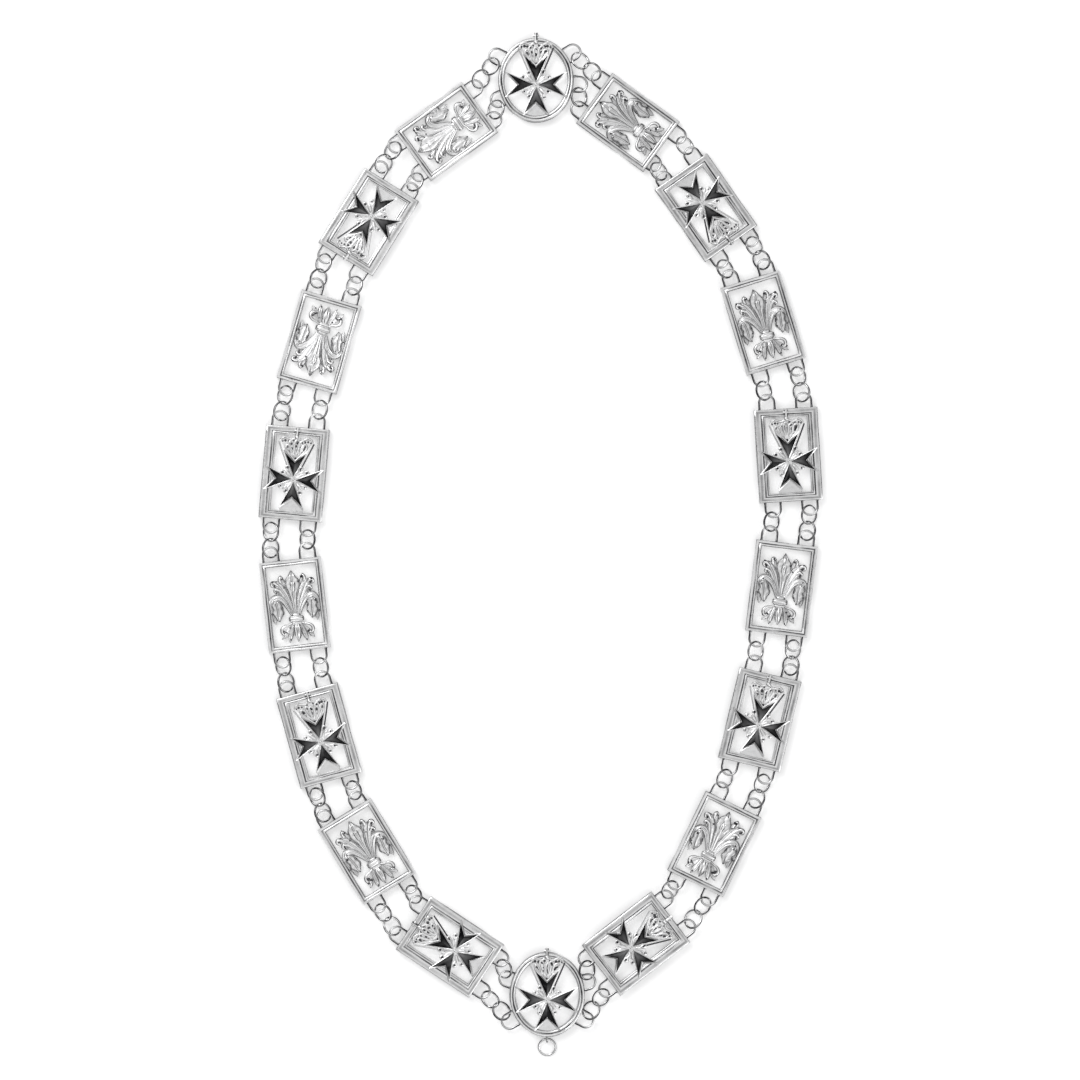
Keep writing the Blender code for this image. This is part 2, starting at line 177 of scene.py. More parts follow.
# Sprigs between the arms: points of x, y, z and, for the stem, radius
SPRIG_STEM = (
    (0.0, 1.7, 3.6, 0.2), (0.0, 3.0, 3.8, 0.45), (0.0, 4.4, 3.9, 0.6), (0.0, 5.6, 3.9, 0.5),
    (0.0, 6.6, 3.9, 0.15),
)
SPRIG_CURL = (
    (0.2, 1.9, 3.7), (0.5, 3.2, 3.9), (0.8, 4.5, 4.0), (1.6, 5.3, 4.1), (2.5, 6.0, 4.1),
    (2.4, 7.1, 4.1), (1.4, 7.3, 4.1), (0.9, 6.4, 4.1),
)
SPRIG_CURL_RADIUS = 0.34
SPRIG_CURL_EYE = (1.65, 6.45, 4.0)
SPRIG_EYE_HEIGHT = 4.1
SPRIG_EYE_RADIUS = 0.36

# Crown, right half: outline of its slab, then lines of its wires as points of x, y and z
CROWN_HEIGHTS = (2.8, 4.0)
CROWN_PLATE = (
    (1.4, 8.0), (4.4, 12.9), (7.1, 17.3), (6.3, 18.2), (5.3, 18.6), (3.9, 18.3), (2.6, 17.7),
    (1.2, 18.3),
)
CROWN_TOP = (
    (7.3, 16.9, 4.3), (6.6, 18.2, 4.3), (5.3, 18.8, 4.4), (3.9, 18.4, 4.4), (2.6, 17.8, 4.5),
    (1.1, 18.5, 4.6),
)
CROWN_FOOT = ((0.0, 8.4, 4.6), (1.5, 10.0, 4.5), (3.2, 12.0, 4.4), (4.9, 14.3, 4.3))
CROWN_STAY = ((1.6, 1.9, 3.7), (4.4, 8.4, 3.7), (6.4, 13.0, 3.9), (7.9, 16.6, 4.3))
# Its arches: turns of the loops about their root, one loop and the drops cut in it, painted as
# dark beads for the shade in them
CROWN_ROOT = 5.7
CROWN_LOOPS = (-0.43, -0.215, 0.0, 0.215, 0.43)
CROWN_LOOP = (
    (0.0, 5.4, 4.2), (-0.7, 7.2, 4.4), (-1.05, 9.0, 4.5), (-1.0, 10.7, 4.5), (0.0, 11.7, 4.5),
    (1.0, 10.7, 4.5), (1.05, 9.0, 4.5), (0.7, 7.2, 4.4), (0.0, 5.4, 4.2),
)
CROWN_DROPS = ((10.5, 0.46), (8.6, 0.4), (7.0, 0.2))
# Its pearls and drilled pits, the pits painted as dark beads for the shade in them: x, y, radius
CROWN_PEARLS = ((6.8, 17.9, 0.5), (5.2, 19.0, 0.55), (2.6, 18.0, 0.5))
CROWN_PEARL_HEIGHT = 4.6
CROWN_PITS = (
    (1.3, 17.5, 0.36), (3.9, 17.1, 0.42), (5.3, 17.3, 0.46), (6.4, 16.9, 0.34),
    (2.2, 10.4, 0.3), (0.0, 9.5, 0.34),
)
CROWN_PIT_HEIGHT = 4.1
# Its orb, and the upright and bar of the cross on it
ORB = (0.0, 19.1, 4.8)
ORB_RADIUS = 1.05
ORB_UPRIGHT = ((0.0, 19.4, 4.7), (0.0, 21.2, 4.7), (0.0, 23.2, 4.7))
ORB_UPRIGHT_RADII = (0.75, 0.66, 0.8)
ORB_BAR = ((-1.5, 22.0, 4.7), (-1.2, 22.0, 4.7), (1.2, 22.0, 4.7), (1.5, 22.0, 4.7))
ORB_BAR_RADII = (0.3, 0.5, 0.5, 0.3)

# Leaves of the fleur-de-lis: sides it grows on, stations of x, y, half-width, lift
BOTH_SIDES = (-1, 1)
MIDDLE = (1,)
LEAVES = (
    (BOTH_SIDES, (
        (2.0, 3.0, 0.8, 0.2), (3.4, 7.0, 1.4, 0.4), (4.6, 10.6, 1.5, 0.5), (5.1, 12.8, 1.0, 0.5),
        (5.0, 14.0, 0.1, 0.3))),
    (MIDDLE, (
        (0, -4.4, 0.9, 0.0), (0, -1, 1.2, 0.2), (0, 2.6, 1.7, 0.5), (0, 6.0, 2.5, 0.8),
        (0.05, 9.2, 3.6, 1.0), (0, 11.4, 3.1, 1.1), (-0.05, 13.7, 1.7, 0.9), (0, 15.9, 0.1, 0.5))),
    (MIDDLE, (
        (0, 1.0, 0.3, 1.5), (0, 5.0, 0.7, 1.7), (0, 8.6, 1.3, 1.9), (0, 10.8, 1.0, 1.8),
        (0, 12.8, 0.1, 1.5))),
    (BOTH_SIDES, (
        (1.1, -4.4, 0.8, 0.0), (1.9, -0.8, 1.1, 0.1), (3.1, 3.0, 1.6, 0.3), (4.6, 6.4, 2.1, 0.6),
        (6.0, 8.8, 2.1, 0.8), (7.2, 10.5, 1.4, 1.0), (8.3, 11.6, 0.1, 0.9))),
    (BOTH_SIDES, (
        (1.6, -4.4, 0.8, 0.0), (2.7, -1.6, 1.1, 0.1), (4.2, 1.5, 1.4, 0.4), (6.2, 3.7, 1.6, 0.8),
        (8.4, 4.1, 1.6, 1.0), (10.0, 2.7, 1.2, 1.0), (10.6, 0.4, 0.9, 0.8),
        (10.4, -2.2, 0.8, 0.6), (9.9, -4.8, 0.6, 0.4), (9.5, -6.8, 0.1, 0.2))),
    (MIDDLE, (
        (0, -7.8, 0.9, 0.4), (0, -9.6, 1.6, 0.8), (0, -11.6, 2.0, 1.0), (0, -14.2, 1.4, 0.8),
        (0, -16.5, 0.1, 0.4))),
    (BOTH_SIDES, (
        (1.7, -7.8, 0.6, 0.1), (2.6, -10.6, 0.9, 0.4), (3.3, -13.4, 1.2, 0.5),
        (3.7, -15.3, 0.8, 0.3), (3.9, -16.5, 0.1, 0.2))),
    (BOTH_SIDES, (
        (2.9, -8.6, 0.4, 0.1), (4.3, -11.0, 0.8, 0.2), (5.6, -12.9, 1.2, 0.4),
        (6.6, -14.2, 0.8, 0.3), (7.4, -14.9, 0.1, 0.1))),
)
LEAF_JITTER = 0.16
# Curls that end its leaves: points of x, y, z and radius
CURLS = (
    ((5.0, 10.2, 2.4, 0.6), (5.6, 12.0, 2.8, 0.8), (5.0, 13.1, 2.8, 0.7), (4.2, 12.5, 2.6, 0.45)),
    ((6.6, 9.6, 2.6, 0.8), (8.2, 10.9, 3.0, 0.9), (9.3, 10.6, 3.0, 0.75), (9.2, 9.5, 2.8, 0.6),
     (8.2, 9.3, 2.7, 0.4)),
    ((6.0, 7.2, 2.5, 0.7), (7.5, 7.9, 2.8, 0.8), (8.3, 7.1, 2.7, 0.6), (7.6, 6.3, 2.4, 0.4)),
    ((2.2, -7.9, 2.2, 0.35), (3.9, -8.6, 2.4, 0.45), (5.6, -9.0, 2.6, 0.6),
     (6.9, -10.2, 2.6, 0.75), (6.9, -11.8, 2.5, 0.75), (5.9, -12.8, 2.4, 0.55),
     (5.0, -12.0, 2.3, 0.4)),
)
# Hanging ends of its outer leaves, duller and more ragged than the rest
FLAGS = (
    ((8.7, 3.4, 0.9, 1.1), (8.4, 1.8, 1.9, 1.1), (8.0, -0.4, 2.5, 0.9), (7.7, -2.8, 2.5, 0.7),
     (7.7, -4.9, 1.8, 0.4), (7.2, -6.7, 0.1, 0.1)),
    ((9.8, -1.6, 0.7, 0.5), (9.5, -3.8, 1.2, 0.4), (9.4, -5.8, 1.0, 0.2), (9.5, -7.6, 0.1, 0.1)),
)
FLAG_JITTER = 0.2
FLAG_SHADE = 0.14
FLAG_RAGGED = 0.14
# Line cut along its inner edge, drawn as a dark tube of painted shade: points of x, y, z and radius
FLAG_CUT = (
    (7.2, 2.4, 2.5, 0.12), (6.2, 1.0, 2.3, 0.32), (5.65, -1.2, 2.0, 0.4), (5.7, -3.4, 1.8, 0.34),
    (6.5, -5.4, 1.7, 0.12),
)
# Holes drilled in its leaves, each painted as a dark spot for the shade in it: x, y, radius
DRILLED_EYES = (
    (8.5, 9.9, 0.42), (7.5, 7.1, 0.36), (1.8, 9.5, 0.3), (9.2, 1.2, 0.4), (5.6, -3.4, 0.3),
    (5.9, -11.0, 0.5), (3.1, -10.2, 0.3), (5.5, -14.4, 0.36), (4.9, 12.5, 0.4),
    (8.9, 11.4, 0.42), (2.5, 10.6, 0.4), (4.1, 8.0, 0.32), (6.9, -12.6, 0.4),
    (1.0, -15.4, 0.34), (3.5, -15.4, 0.34), (10.3, -3.2, 0.32), (8.8, 3.4, 0.3),
)
EYE_JITTER = 0.3
# Bands across its stalks: neck, tie and cup
TIE_BANDS = (
    ((-2.0, -4.4, 0.4, 0.5), (-1.2, -4.4, 0.8, 0.9), (1.2, -4.4, 0.8, 0.9), (2.0, -4.4, 0.4, 0.5)),
    ((-2.6, -8.1, 0.4, 0.3), (-1.6, -8.0, 0.9, 0.7), (1.6, -8.0, 0.9, 0.7), (2.6, -8.1, 0.4, 0.3)),
    ((-3.4, -6.1, 0.9, 0.4), (-2.7, -6.1, 1.3, 0.7), (-1.2, -6.1, 1.45, 1.0),
     (1.2, -6.1, 1.45, 1.0), (2.7, -6.1, 1.3, 0.7), (3.4, -6.1, 0.9, 0.4)),
)

# Section of a leaf, from its edge inward and from its midrib outward: distance, height, how dark;
# the dark low outer edge is a painted shadow outline, the dark in the hollow patina
LEAF_EDGE = (
    (0.00, -0.30, 0.8), (0.10, 0.10, 0.5), (0.22, 0.44, 0.0), (0.36, 0.54, 0.0),
    (0.50, 0.46, 0.04), (0.68, 0.28, 0.22), (0.92, 0.20, 0.14),
)
LEAF_MIDRIB = ((0.00, 0.46, 0.0), (0.18, 0.42, 0.0), (0.34, 0.27, 0.22), (0.60, 0.20, 0.14))
BAND_EDGE = (
    (0.00, -0.30, 0.9), (0.14, 0.30, 0.4), (0.34, 0.62, 0.0), (0.60, 0.66, 0.0), (0.80, 0.52, 0.4),
    (0.95, 0.50, 0.3),
)
BAND_MIDRIB = ((0.00, 0.66, 0.0), (0.30, 0.68, 0.0), (0.55, 0.62, 0.05), (0.72, 0.52, 0.4))
LEAF_FULL_HALF_WIDTH = 1.75
LEAF_BACK = 0.5
LEAF_RIM = 1.7
LEAF_LEAST_HALF_WIDTH = 0.06
LEAF_ROWS_PER_MM = 2.2
VEIN_FIELD = 0.6
VEIN_DEPTH = 0.14
VEIN_TARNISH = 0.25
TIP_DARKENING = 0.6

# Beads, slabs, and how far round a drilled spot there has to be metal
BEAD_LEVELS = 7
BEAD_SIDES = 12
BEAD_POLE = 0.12
SLAB_BEVEL = 0.12
SPOT_REACH = 0.5
SPOT_MARGIN = 0.2

# Camera and lights, in metres and watts: name, place, width and height, power
SENSOR = 36.0
CAMERA_HEIGHT = 2.0
CAMERA_PLACE = (-0.0003, 0.0021)
VIEW_WIDTH = 0.486
LIGHTS = (
    ("key", (-0.8, 0.9, 1.45), (1.0, 1.0), 11.0),
    ("fill", (1.15, -0.95, 1.0), (1.2, 0.8), 6.0),
)
# Sky: share of the way up to the zenith, level; the way its light is dimmed toward
SKY = (
    (0.0, 0.10), (0.25, 0.12), (0.42, 0.30), (0.60, 0.66), (0.78, 0.86), (0.92, 0.78), (1.0, 0.70),
)
SKY_DIM_SIDE = (0.75, -0.66, 0.0)
FLOOR_SIZE = 2.5
FLOOR_GAP = 0.00002
FLOOR_GLOW = 0.38

# Silvers: name, bright and dull colour, lowest and highest roughness, strength of its darkening
# (patina in hollows and painted shade)
SILVERS = (
    ("plate_silver", (0.90, 0.90, 0.905), (0.04, 0.04, 0.045), (0.24, 0.36), 0.95),
    ("wire_silver", (0.95, 0.95, 0.955), (0.03, 0.03, 0.035), (0.12, 0.22), 1.0),
    ("cast_silver", (0.95, 0.95, 0.955), (0.04, 0.04, 0.045), (0.28, 0.42), 0.95),
)
SEED = 7


def per_row(value, count):
    """Return a number for each row, from one number or from a row of them."""
    return np.broadcast_to(np.asarray(value, float), (count,))


class Sculpture:
    """Collects the surfaces of one piece, in millimetres, with a darkness at each point."""

    def __init__(self, shade=0.0):
        self.shade = shade
        self.points = []
        self.faces = []
        self.dark = []

    def grid(self, points, dark, wrap_rows=False, cap=False):
        """Add a band of rows; each row is a closed loop of points."""
        rows, columns = points.shape[:2]
        start = len(self.points)
        self.points.extend(points.reshape(-1, 3).tolist())
        self.dark.extend(dark.reshape(-1).tolist())
        last = rows if wrap_rows else rows - 1
        for i in range(last):
            a = start + i * columns
            b = start + ((i + 1) % rows) * columns
            for j in range(columns):
                k = (j + 1) % columns
                self.faces.append((a + j, a + k, b + k, b + j))
        if cap:
            for row in (0, rows - 1):
                first = start + row * columns
                middle = len(self.points)
                self.points.append(points[row].mean(axis=0).tolist())
                self.dark.append(float(dark[row].mean()))
                for j in range(columns):
                    self.faces.append((first + j, first + (j + 1) % columns, middle))

    def tube(self, path, radius, sides=10, closed=False, flank=0.9, both=False, spread=0.25,
             rise=0.0, squash=1.0):
        """Add a tube along a path, painted with shade below and on its outer side as flank says.

        both paints that shade on its two sides, spread is how far over its top the painted shade
        reaches, rise is how far its outer side turns up, and squash is its height over its width.
        """
        path = np.asarray(path, float)
        count = len(path)
        if closed:
            along = np.roll(path, -1, axis=0) - np.roll(path, 1, axis=0)
        else:
            along = np.gradient(path, axis=0)
        along /= np.linalg.norm(along, axis=1)[:, None]
        up = np.array((0.0, 0.0, 1.0))
        if abs(along @ up).max() > 0.9:
            up = np.array((1.0, 0.2, 0.0))
        side = np.cross(along, up)
        side /= np.linalg.norm(side, axis=1)[:, None]
        lift = np.cross(side, along) * squash
        angle = np.linspace(0.0, math.tau, sides, endpoint=False)
        ring = np.cos(angle)[None, :, None] * side[:, None, :]
        ring = ring + np.sin(angle)[None, :, None] * lift[:, None, :]
        points = path[:, None, :] + ring * per_row(radius, count)[:, None, None]
        facing = angle[None, :] + per_row(rise, count)[:, None]
        outward = np.abs(np.cos(facing)) if both else np.cos(facing)
        # Painted shade: dark on the outer side and the underside, where light falls least
        outer = (outward + spread) / FLANK_EDGE
        under = (-np.sin(facing) - UNDER_START) / UNDER_EDGE
        shade = np.clip(np.maximum(outer, under), 0.0, 1.0)
        self.grid(points, per_row(flank, count)[:, None] * shade, wrap_rows=closed, cap=not closed)

    def bead(self, x, y, z, radius, squash, dark=0.0, stretch=1.0):
        """Add a small bead, flattened along Z and drawn out along Y."""
        level = np.linspace(BEAD_POLE, math.pi - BEAD_POLE, BEAD_LEVELS)[:, None]
        angle = np.linspace(0.0, math.tau, BEAD_SIDES, endpoint=False)[None, :]
        points = np.zeros((BEAD_LEVELS, BEAD_SIDES, 3))
        points[:, :, 0] = x + radius * np.sin(level) * np.cos(angle)
        points[:, :, 1] = y + stretch * radius * np.sin(level) * np.sin(angle)
        points[:, :, 2] = z - radius * squash * np.cos(level)
        self.grid(points, np.full(points.shape[:2], dark), cap=True)

    def top(self, x, y):
        """Return the height of the metal at a place, or None where it is not metal all round."""
        place = np.array((x, y))
        points = np.array(self.points)
        near = points[np.hypot(points[:, 0] - x, points[:, 1] - y) < SPOT_REACH]
        if not len(near):
            return None
        low = near.min(axis=0)
        high = near.max(axis=0)
        if (low[:2] > place - SPOT_MARGIN).any() or (high[:2] < place + SPOT_MARGIN).any():
            return None
        return float(high[2])

    def prism(self, outline, low, high, dark=0.0):
        """Add a flat slab with a small chamfer round its top."""
        ring = np.asarray(outline, float)
        middle = ring.mean(axis=0)
        rows = []
        for share, z in ((1.0, low), (1.0, high - SLAB_BEVEL), (1.0 - SLAB_BEVEL / 6, high)):
            flat = middle + (ring - middle) * share
            rows.append(np.column_stack((flat, np.full(len(ring), z))))
        points = np.array(rows)
        start = len(self.points)
        self.grid(points, np.full(points.shape[:2], dark))
        count = len(ring)
        self.faces.append(tuple(start + i for i in range(count)))
        self.faces.append(tuple(start + 2 * count + i for i in range(count)))

    def move(self, matrix, first=0):
        """Move the points added since first by a matrix."""
        for i in range(first, len(self.points)):
            self.points[i] = tuple(matrix @ Vector(self.points[i]))

    def finish(self, name, material, sharp=40.0):
        """Make the mesh and its object."""
        data = bpy.data.meshes.new(name)
        data.from_pydata([tuple(c * MM for c in p) for p in self.points], [], self.faces)
        mesh = bmesh.new()
        mesh.from_mesh(data)
        bmesh.ops.recalc_face_normals(mesh, faces=mesh.faces)
        mesh.to_mesh(data)
        mesh.free()
        layer = data.attributes.new("dark", "FLOAT", "POINT")
        layer.data.foreach_set("value", [min(1.0, dark + self.shade) for dark in self.dark])
        data.shade_smooth()
        data.set_sharp_from_angle(angle=math.radians(sharp))
        data.materials.append(material)
        piece = bpy.data.objects.new(name, data)
        bpy.context.scene.collection.objects.link(piece)
        return piece


def spline(stations, count):
    """Return count rows on a smooth curve through rows of numbers."""
    rows = np.array(stations, float)
    pad = np.vstack([2 * rows[0] - rows[1], rows, 2 * rows[-1] - rows[-2]])
    t = np.linspace(0.0, len(rows) - 1.0, count)
    i = np.minimum(t.astype(int), len(rows) - 2)
    f = (t - i)[:, None]
    a, b, c, d = pad[i], pad[i + 1], pad[i + 2], pad[i + 3]
    square = (2 * a - 5 * b + 4 * c - d) * f ** 2
    cube = (3 * b - a - 3 * c + d) * f ** 3
    return 0.5 * (2 * b + (c - a) * f + square + cube)


def mirror(rows, side):
    """Return rows with their x taken to the side +1 or -1."""
    return [(side * x, *rest) for x, *rest in rows]


def add_leaf(sculpture, stations, edge_rows=LEAF_EDGE, rib_rows=LEAF_MIDRIB, shade=0.0,
             ragged=0.03):
    """Add a cast leaf: a hollowed blade with a raised edge, a midrib and soft slanting veins."""
    length = sum(math.dist(a[:2], b[:2]) for a, b in zip(stations, stations[1:]))
    count = max(8, int(length * LEAF_ROWS_PER_MM))
    rows = spline(stations, count)
    along = np.gradient(rows[:, :2], axis=0)
    step = np.linalg.norm(along, axis=1)
    along /= step[:, None]
    across = np.column_stack((along[:, 1], -along[:, 0]))
    travelled = np.cumsum(step)
    wave = 1 + ragged * np.sin(travelled * 1.5 + length)
    half = np.maximum(rows[:, 2] * wave, LEAF_LEAST_HALF_WIDTH)
    small = np.minimum(1.0, half / LEAF_FULL_HALF_WIDTH)

    inward = np.array(edge_rows)
    outward = np.array(rib_rows)[::-1]
    near = half[:, None] - inward[None, :, 0] * small[:, None]
    far = outward[None, :, 0] * small[:, None]
    middle = (near[:, -1:] + far[:, :1]) / 2
    offset = np.concatenate((near, middle, far), axis=1)
    section = np.concatenate((inward, inward[-1:], outward))
    relief = section[None, :, 1] * small[:, None]
    dark = section[None, :, 2].repeat(count, axis=0)
    open_field = np.clip(half - LEAF_FULL_HALF_WIDTH, 0.0, VEIN_FIELD)[:, None]
    hollow = (np.arange(offset.shape[1]) == len(inward))[None, :] * open_field
    vein = np.sin(travelled[:, None] * 2.6 - offset * 1.6)
    relief = relief + VEIN_DEPTH * vein * hollow
    dark = dark - VEIN_TARNISH * vein * hollow
    # Darker toward each leaf's tip
    ends = np.clip((travelled / travelled[-1] - 0.93) / 0.05, 0.0, TIP_DARKENING)[:, None]
    offset = np.concatenate((-offset, offset[:, -2::-1]), axis=1)
    relief = np.concatenate((relief, relief[:, -2::-1]), axis=1)
    dark = np.concatenate((dark, dark[:, -2::-1]), axis=1) + ends + shade

    top = np.empty(offset.shape + (3,))
    top[:, :, :2] = rows[:, None, :2] + across[:, None, :] * offset[:, :, None]
    top[:, :, 2] = LEAF_RIM + relief + rows[:, 3:4] * small[:, None]
    under = np.empty((count, 2, 3))
    for k, side in enumerate((0.8, -0.8)):
        under[:, k, :2] = rows[:, :2] + across * (half * side)[:, None]
        under[:, k, 2] = LEAF_RIM - (LEAF_RIM - LEAF_BACK) * small
    points = np.concatenate((top, under), axis=1)
    # Painted shade on the leaf's underside
    dark = np.concatenate((dark, np.full((count, 2), 0.9)), axis=1)
    sculpture.grid(points, np.clip(dark, 0.0, 1.0), cap=True)


def add_frame(sculpture, outline, profile, steps, noise):
    """Sweep a rail's profile round a closed outline, with the waves and stains of handwork; the
    stains vary its painted shade and its patina alike.
    """
    loops = []
    shades = []
    for across, height, dark in profile:
        flat = np.array(outline(across), float)
        if steps > 1:
            share = (np.arange(steps) / steps)[:, None]
            sides = zip(flat, np.roll(flat, -1, axis=0))
            flat = np.concatenate([a + (b - a) * share for a, b in sides])
        count = len(flat)
        turn = np.linspace(0.0, math.tau, count, endpoint=False)
        wave = 0.04 * np.sin(turn * 5 + noise) + 0.02 * np.sin(turn * 9 + noise * 2.3 + across * 3)
        drift = 0.04 * np.sin(turn * 7 + noise * 1.7 + across * 5)
        if 0.0 < across < 1.0:
            middle = flat.mean(axis=0)
            out = flat - middle
            out /= np.linalg.norm(out, axis=1)[:, None]
            flat = flat + out * drift[:, None]
            z = height + wave * (height > 1.0) * 0.6
        else:
            z = np.full(count, height)
        loops.append(np.column_stack((flat, np.minimum(z, RAIL_LIMIT))))
        # Random unevenness, applied to the painted shade and to the patina alike
        uneven = 1 + 0.5 * np.sin(turn * 4 + noise * 3.1 + across * 11)
        uneven = uneven + 0.25 * np.sin(turn * 11 + noise + across * 4)
        shades.append(dark * uneven)
    sculpture.grid(np.array(loops), np.clip(shades, 0.0, 1.0), wrap_rows=True)


def rectangle(width, length, side_rail, end_rail):
    """Return a function that gives a rectangle's corners at a share of its rails inward."""
    def corners(across):
        x = width / 2 - across * side_rail
        y = length / 2 - across * end_rail
        return ((-x, -y), (x, -y), (x, y), (-x, y))
    return corners


def oval(half_width, half_length, rail, segments):
    """Return a function that gives points round an oval at a share of its rail inward."""
    def points(across):
        angle = np.linspace(0.0, math.tau, segments, endpoint=False)
        x = (half_width - across * rail) * np.cos(angle)
        y = (half_length - across * rail) * np.sin(angle)
        return np.column_stack((x, y))
    return points


def ring_path(radius, count):
    """Return points on a flat circle."""
    angle = np.linspace(0.0, math.tau, count, endpoint=False)
    return np.column_stack((radius * np.cos(angle), radius * np.sin(angle), np.zeros(count)))


def lug_path(width, reach, solder):
    """Return a half-round lug's line, out along +X, its radii and how much painted shade it
    carries.
    """
    radius = (width - WIRE) / 2
    bow = reach - WIRE / 2 - radius
    legs = max(2, int((bow + LUG_ROOT) * 2))
    xs = np.linspace(-LUG_ROOT, bow, legs, endpoint=False)
    angle = np.linspace(-math.pi / 2, math.pi / 2, LUG_BOW_STEPS)
    path = [(x, -radius) for x in xs]
    path += [(bow + radius * math.cos(a), radius * math.sin(a)) for a in angle]
    path += [(x, radius) for x in xs[::-1]]
    path = np.array([(x, y, 0.0) for x, y in path])
    fillet = 1 + solder * np.exp(-((path[:, 0] - 0.25) / 0.4) ** 2)
    fillet = fillet - 0.5 * np.clip(-path[:, 0], 0.0, LUG_ROOT)
    # Painted edge shade on the legs, lighter at the bow's tip: wear where rings rub, and less
    # painted shade
    lighter_tip = np.exp(-((path[:, 0] - bow - radius) / radius * 1.6) ** 2)
    return path, WIRE / 2 * fillet, 1 - 0.75 * lighter_tip


def lug_height():
    """Return the height of the lugs, level with the middles of the rolled rings."""
    return (RING_OUTER - WIRE) / 2 * math.sin(RING_ROLL) + WIRE / 2 + RING_CLEARANCE


def badge_rim(angle):
    """Return the point of a badge's rim in a direction, and the rim's outward angle there."""
    x = math.cos(angle) / BADGE_HALF_WIDTH
    y = math.sin(angle) / BADGE_HALF_LENGTH
    reach = 1 / math.hypot(x, y)
    outward = math.atan2(y / BADGE_HALF_LENGTH, x / BADGE_HALF_WIDTH)
    return Vector((reach * math.cos(angle), reach * math.sin(angle))), outward


def badge_lug(badge, side, lane):
    """Describe the lug on a badge that starts or ends a strand."""
    point, outward = badge_rim(math.radians(BADGE_LUGS[badge, side, lane]))
    return {"owner": badge + "_badge", "root": Vector(BADGES[badge]) + point, "heading": outward}


def plate_lug(row, end, lane):
    """Describe a lug on a plate's end, +1 for the end nearer the nape."""
    outward = -1 if row["side"] == "left" else 1
    across = outward if lane == "outer" else -outward
    turn = math.radians(row["turn"])
    local = Vector((across * LUG_SPREAD, end * row["length"] / 2))
    root = Vector((row["x"], row["y"])) + Matrix.Rotation(turn, 2) @ local
    return {"owner": row["name"], "root": root, "heading": turn + end * math.pi / 2}


def chain(side):
    """Return the plates of one side in order, each as a dictionary of its columns."""
    columns = ("side", "kind", "length", "x", "y", "turn", "upright")
    rows = [dict(zip(columns, row)) for row in PLATES if row[0] == side]
    for number, row in enumerate(rows, start=1):
        row["name"] = f"{row['kind']}_plate_{side}_{number}"
    return rows


def pull_point(lug, reach):
    """Return the point inside a lug that the strand's straight line passes through."""
    angle = lug["heading"]
    return lug["root"] + Vector((math.cos(angle), math.sin(angle))) * reach * PULL_SHARE


def list_strands():
    """Describe every strand: its two lugs, how far they reach and where they are pulled."""
    strands = []
    for side in ("left", "right"):
        rows = chain(side)
        for lane in ("outer", "inner"):
            starts = [badge_lug("nape", side, lane)] + [plate_lug(row, -1, lane) for row in rows]
            ends = [plate_lug(row, 1, lane) for row in rows] + [badge_lug("front", side, lane)]
            for number, lugs in enumerate(zip(starts, ends), start=1):
                span = (lugs[1]["root"] - lugs[0]["root"]).length
                reach = min(LUG_REACH, (span - LUG_FACING_GAP) / 2)
                strands.append({
                    "name": f"rings_{side}_{lane}_{number}",
                    "lugs": lugs,
                    "span": span,
                    "pulls": [pull_point(lug, reach) for lug in lugs],
                    "reach": reach,
                    "lean": RING_ROLL if side == "left" else -RING_ROLL,
                })
    return strands


def add_lugs(sculpture, owner, x, y, turn, strands):
    """Add the lugs of one piece, in the piece's own frame."""
    for strand in strands:
        for lug in strand["lugs"]:
            if lug["owner"] == owner:
                first = len(sculpture.points)
                path, radii, darkening = lug_path(LUG_WIDTH, strand["reach"], LUG_SOLDER)
                sculpture.tube(path, radii, sides=WIRE_SIDES, flank=darkening, spread=0.5)
                root = Matrix.Rotation(-turn, 2) @ (lug["root"] - Vector((x, y)))
                move = Matrix.Translation((root.x, root.y, lug_height()))
                sculpture.move(move @ Matrix.Rotation(lug["heading"] - turn, 4, "Z"), first)


def polar(radius, angle):
    """Return a flat point from its radius and angle."""
    return np.array((radius * math.cos(angle), radius * math.sin(angle)))


def arm_corners(quarter, tip_radius, inset):
    """Return an arm's corners, drawn in from its outline: foot, right tip, notch, left tip."""
    middle = quarter * math.pi / 2 + math.pi / 2
    foot = polar(WAIST_RADIUS / math.sqrt(2) + inset * FOOT_INSET, middle)
    right = polar(tip_radius - inset * TIP_INSET, middle - TIP_SPREAD)
    notch = polar(NOTCH_RADIUS - inset * NOTCH_INSET, middle)
    left = polar(tip_radius - inset * TIP_INSET, middle + TIP_SPREAD)
    return [foot, right, notch, left]


def add_cross(sculpture, tip_radius):
    """Add the cross's silver: its body, the web below it and a raised wire round each arm."""
    outline = []
    for quarter in range(4):
        _, right, notch, left = arm_corners(quarter, tip_radius, 0.0)
        waist = polar(BODY_WAIST_RADIUS, quarter * math.pi / 2 + 3 * math.pi / 4)
        outline += [right, notch, left, waist]
    sculpture.prism(outline, *BODY_HEIGHTS)
    _, right, notch, left = arm_corners(2, tip_radius, 0.0)
    right = right * 0.97
    left = left * 0.97
    x, y = WEB_FOOT
    web = (notch * 0.9, right, right + np.array((x, y)), left + np.array((-x, y)), left)
    sculpture.prism(web, *WEB_HEIGHTS, dark=0.04)
    for quarter in range(4):
        corners = arm_corners(quarter, tip_radius + ARM_WIRE_REACH, ARM_WIRE_INSET)
        path = []
        radii = []
        darkening = []
        for a, b in zip(corners, corners[1:] + corners[:1]):
            for share in ARM_WIRE_STATIONS:
                flat = a + (b - a) * share
                path.append((flat[0], flat[1], ARM_WIRE_HEIGHT))
                # Painted edge shade on each arm's wire, fading toward the tips for a painted
                # highlight there
                outward = math.hypot(*flat) / tip_radius
                radii.append(0.26 - 0.02 * outward)
                darkening.append(0.25 - 0.2 * outward ** 2)
        sculpture.tube(path, radii, sides=8, closed=True, flank=np.clip(darkening, 0.0, 1.0))
    sculpture.bead(0.0, 0.0, 4.5, 0.6, squash=0.6)


